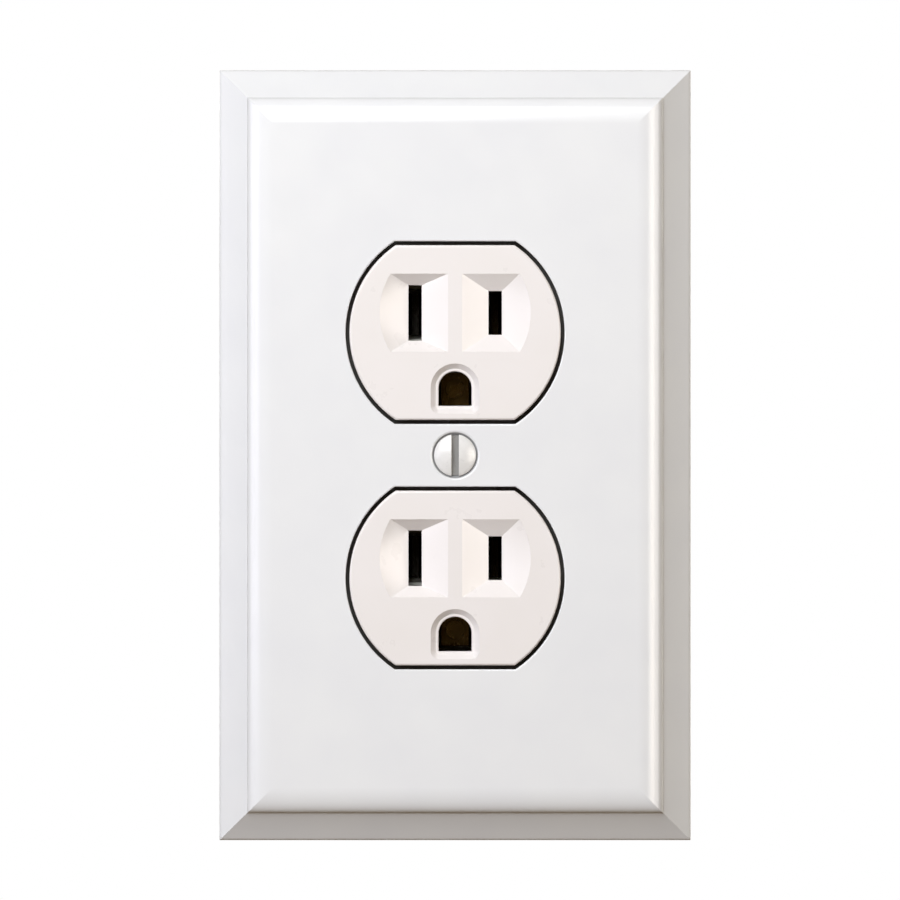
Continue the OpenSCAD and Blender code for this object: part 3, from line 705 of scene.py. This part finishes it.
# A head's round is given as points of (inset from its rim, drop from its top)
mountingScrewValues = {
    "head": 3.9, "thick": 1.9, "under": -1.35, "neck": 1.45, "threadStart": 1.15,
    "slotHalf": 0.5, "slotDepth": 1.0,
    "round": [(1.6, 0), (0.75, 0.12), (0.25, 0.45), (0, 0.95)],
    "crest": 1.71, "root": 1.27, "pitch": 0.794, "tip": 17.7,
}


def mountingScrew(values, side):
    r, under = values["head"], values["under"]
    top, neck = under - values["thick"], values["neck"]
    neckEnd = values["threadStart"] + 0.4
    head = [(0, top)] + [(r - inset, top + drop) for inset, drop in values["round"]]
    head += [(r, under - 0.1), (r - 0.1, under), (neck, under), (neck, neckEnd), (0, neckEnd)]
    slot = {"low": (-slotReach, top - 1, -values["slotHalf"]),
            "high": (slotReach, top + values["slotDepth"], values["slotHalf"])}
    shank = {"crest": values["crest"], "root": values["root"], "pitch": values["pitch"],
             "start": values["threadStart"], "end": values["tip"] - 0.8, "tip": values["tip"]}
    node = "mounting_screw_" + side
    low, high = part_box(node)
    middle = (low + high) * 500
    turn = Matrix.Translation((middle.x, 0, middle.z))
    screw("mountingScrew_" + side, node, head, slot, shank, materials["zincPlate"], turn)


for side in ("upper", "lower"):
    mountingScrew(mountingScrewValues, side)


# Lays a terminal's screw, built with its seat at depth 0, on its side of the outlet
def terminalTurn(node, thick):
    low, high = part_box(node)
    outer = 1 if high.x > 0 else -1
    seat = (high.x if outer > 0 else -low.x) * 1000 - thick
    middle = (low + high) * 500
    return (Matrix.Translation((outer * seat, middle.y, middle.z))
            @ Matrix.Rotation(math.radians(90 * outer), 4, "Z"))


terminalScrewValues = {
    "head": 4.0, "thick": 2.1, "slotHalf": 0.5, "slotDepth": 1.1,
    "round": [(1.5, 0), (0.75, 0.1), (0.25, 0.4), (0, 0.85)],
    "crest": 2.04, "root": 1.56, "pitch": 0.794, "length": 6.0,
}


def terminalScrew(values, strip, side, material):
    node = strip + "_screw_" + side
    r, top, stub = values["head"], -values["thick"], values["root"] + 0.2
    head = [(0, top)] + [(r - inset, top + drop) for inset, drop in values["round"]]
    head += [(r, -0.1), (r - 0.1, 0), (stub, 0), (stub, 0.5), (0, 0.5)]
    slot = {"low": (-slotReach, top - 1, -values["slotHalf"]),
            "high": (slotReach, top + values["slotDepth"], values["slotHalf"])}
    shank = {"crest": values["crest"], "root": values["root"], "pitch": values["pitch"],
             "start": -0.02, "end": values["length"] - 0.6, "tip": values["length"]}
    screw(strip + "Screw_" + side, node, head, slot, shank, material, terminalTurn(node, values["thick"]))


for side in ("upper", "lower"):
    terminalScrew(terminalScrewValues, "hot", side, materials["turnedBrass"])
    terminalScrew(terminalScrewValues, "neutral", side, materials["nickelPlate"])

groundScrewValues = {
    "corner": 4.38, "thick": 2.4, "chamfer": (0.3, 0.25), "slotHalf": 0.5, "slotDepth": 1.0,
    "crest": 2.04, "root": 1.56, "pitch": 0.794, "length": 6.0,
}


# The green screw has a hexagonal head with a chamfered edge, slotted like the others
def groundScrew(values):
    bm = bmesh.new()
    hexagon = discFace(bm, values["corner"], 0, 0, 0, 6)
    inset, drop = values["chamfer"]
    followProfile(bm, hexagon, [(0, values["thick"] - drop), (inset, values["thick"])])
    bolt = closeShape(bm, "groundScrew")
    tip, root, half = values["length"], values["root"], values["slotHalf"]
    end = tip - 0.6
    tools = add(helix(values["crest"], root, values["pitch"], -0.3, end),
                turned([(0, end - 0.5), (root, end - 0.5), (root, end - 0.02), (root - 0.45, tip), (0, tip)],
                       steps=32))
    top = -values["thick"]
    tools += cut(block((-slotReach, top - 1, -half), (slotReach, top + values["slotDepth"], half), slotSoft))
    carve(bolt, tools)
    finishPiece(bolt, "groundScrew", ["ground_screw"], bodyOf["ground_screw"],
                materials["greenDyedZinc"], terminalTurn("ground_screw", values["thick"]))


groundScrew(groundScrewValues)
print("screws made")


# For each node: its piece's name, its finish and how wide its edges are softened
softPieces = {
    "base": ("outletBase", "matteNylonBase", 0.25),
    "mounting_strap": ("mountingStrap", "galvanisedSteel", 0.16),
    "center_insert": ("centerInsert", "turnedBrass", 0.12),
    "assembly_screws": ("assemblyScrews", "zincPlate", 0.12),
    "hot_bus": ("hotBus", "rolledBrass", 0.08),
    "neutral_bus": ("neutralBus", "nickelPlate", 0.08),
    "ground_contact_upper": ("groundContact_upper", "rolledBrass", 0.06),
    "ground_contact_lower": ("groundContact_lower", "rolledBrass", 0.06),
    "ground_rivets": ("groundRivets", "turnedBrass", 0.1),
    "hot_clamp_upper": ("hotClamp_upper", "zincPlate", 0.1),
    "hot_clamp_lower": ("hotClamp_lower", "zincPlate", 0.1),
    "neutral_clamp_upper": ("neutralClamp_upper", "zincPlate", 0.1),
    "neutral_clamp_lower": ("neutralClamp_lower", "zincPlate", 0.1),
    "ground_clamp": ("groundClamp", "zincPlate", 0.1),
    "retaining_washer_upper": ("retainingWasher_upper", "vulcanisedFibre", 0.06),
    "retaining_washer_lower": ("retainingWasher_lower", "vulcanisedFibre", 0.06),
}
# The spring leaves are seen only down a dark slot, so they get a painted shade. Each has how far back its
# painted shade goes and how dark it is, and the metal further than leafReach from the middle stays bright
leafReach = 12
darkLeaves = {"hot_bus": (20, 0.97), "neutral_bus": (20, 0.96),
              "ground_contact_upper": (21, 0.7), "ground_contact_lower": (21, 0.7),
              "ground_rivets": (20.5, 0.72)}
for node, (name, finish, soft) in softPieces.items():
    piece = finishPiece(copyNode(node), name, [node], bodyOf[node], materials[finish],
                        soft=soft)
    if node in darkLeaves:
        back, shade = darkLeaves[node]
        markPaintedShade(piece, lambda place: shade if place.y < back and abs(place.x) < leafReach else 0.0)
print("softened pieces made:", len(softPieces))


studioValues = {
    "distance": 1.3, "frameWidth": 0.1433, "sensor": 36, "shift": (-0.00081, 0.00084),
    "floorHeight": -0.3, "floorRadius": 4.0, "floorGlow": 0.8,
    "ambient": 0.12, "ambientTint": "#FFD695",
}


# A panel of light turned towards the outlet
def addLight(name, place, size, radiance, tint):
    light = bpy.data.lights.new(name, "AREA")
    light.shape = "RECTANGLE"
    light.size, light.size_y = size
    light.energy = radiance * math.pi * size[0] * size[1]
    light.color = colour(tint)[:3]
    lamp = bpy.data.objects.new(name, light)
    bpy.context.scene.collection.objects.link(lamp)
    lamp.location = place
    lamp.rotation_euler = (-Vector(place)).to_track_quat("-Z", "Y").to_euler()
    lamp.visible_camera = False
    return lamp


# Each light: place, size, radiance and tint
lights = {
    "keyLight": ((-0.19, -0.62, 0.34), (0.45, 0.45), 8.1, "#FBFEFF"),
    "leftLight": ((-0.48, -0.36, 0.02), (0.40, 0.16), 3.2, "#EAEBFF"),
    "backLight": ((-0.45, 0.70, 0.35), (0.6, 0.6), 2.8, "#FFFDF8"),
    "backFill": ((0.64, 0.52, -0.08), (0.5, 0.5), 3.0, "#FFFDF8"),
    "rightStrip": ((0.37, -0.45, 0.0), (0.13, 0.2), 3.6, "#FFF1DF"),
    "sheenPanel": ((0.42, -0.40, 0.0), (0.40, 0.3), 4.2, "#FFF8F0"),
}
lamps = {name: addLight(name, *light) for name, light in lights.items()}
lamps["sheenPanel"].visible_diffuse = False  # it shows only as a sheen along the plate's right shoulder


def studioFloor(values):
    bm = bmesh.new()
    bmesh.ops.create_circle(bm, cap_ends=True, radius=values["floorRadius"], segments=128,
                            matrix=Matrix.Translation((0, 0, values["floorHeight"])))
    mesh = bpy.data.meshes.new("studioFloor")
    bm.to_mesh(mesh)
    bm.free()
    floor = bpy.data.objects.new("studioFloor", mesh)
    bpy.context.scene.collection.objects.link(floor)
    # Matte paper with a faint unevenness, lit a little from within so that it stays pale
    paper = {"light": "#EDEDEC", "dark": "#E9E9E8", "tone": {"size": 60},
             "sockets": {"IOR": 1.5, "Roughness": 0.85, "Emission Color": colour("#F2F1EF"),
                         "Emission Strength": values["floorGlow"]}}
    mesh.materials.append(surfaceFinish("palePaper", paper))
    # The floor looks evenly lit but sends no light back up, so the plate's lower band stays in shade
    floor.visible_diffuse = False
    floor.visible_glossy = False


studioFloor(studioValues)

world = bpy.data.worlds.new("studioWorld")
bpy.context.scene.world = world
world.use_nodes = True
worldTree = world.node_tree
worldTree.nodes.clear()
# The backdrop looks white, while the piece is lit by a faint warm ambience
seen = addNode(worldTree, "Background", sockets={"Color": (1, 1, 1, 1), "Strength": 1.0})
felt = addNode(worldTree, "Background",
               sockets={"Color": colour(studioValues["ambientTint"]), "Strength": studioValues["ambient"]})
rays = addNode(worldTree, "LightPath")
mixed = addNode(worldTree, "MixShader",
                links={0: rays.outputs["Is Camera Ray"], 1: felt.outputs[0], 2: seen.outputs[0]})
addNode(worldTree, "OutputWorld", links={"Surface": mixed.outputs[0]})

camera = bpy.data.cameras.new("frontCamera")
camera.sensor_width = studioValues["sensor"]
camera.lens = studioValues["sensor"] * studioValues["distance"] / studioValues["frameWidth"]
cameraObject = bpy.data.objects.new("frontCamera", camera)
bpy.context.scene.collection.objects.link(cameraObject)
cameraObject.location = (studioValues["shift"][0], -studioValues["distance"], studioValues["shift"][1])
cameraObject.rotation_euler = (math.radians(90), 0, 0)
bpy.context.scene.camera = cameraObject
bpy.context.scene.view_settings.view_transform = "Standard"
print("studio made")
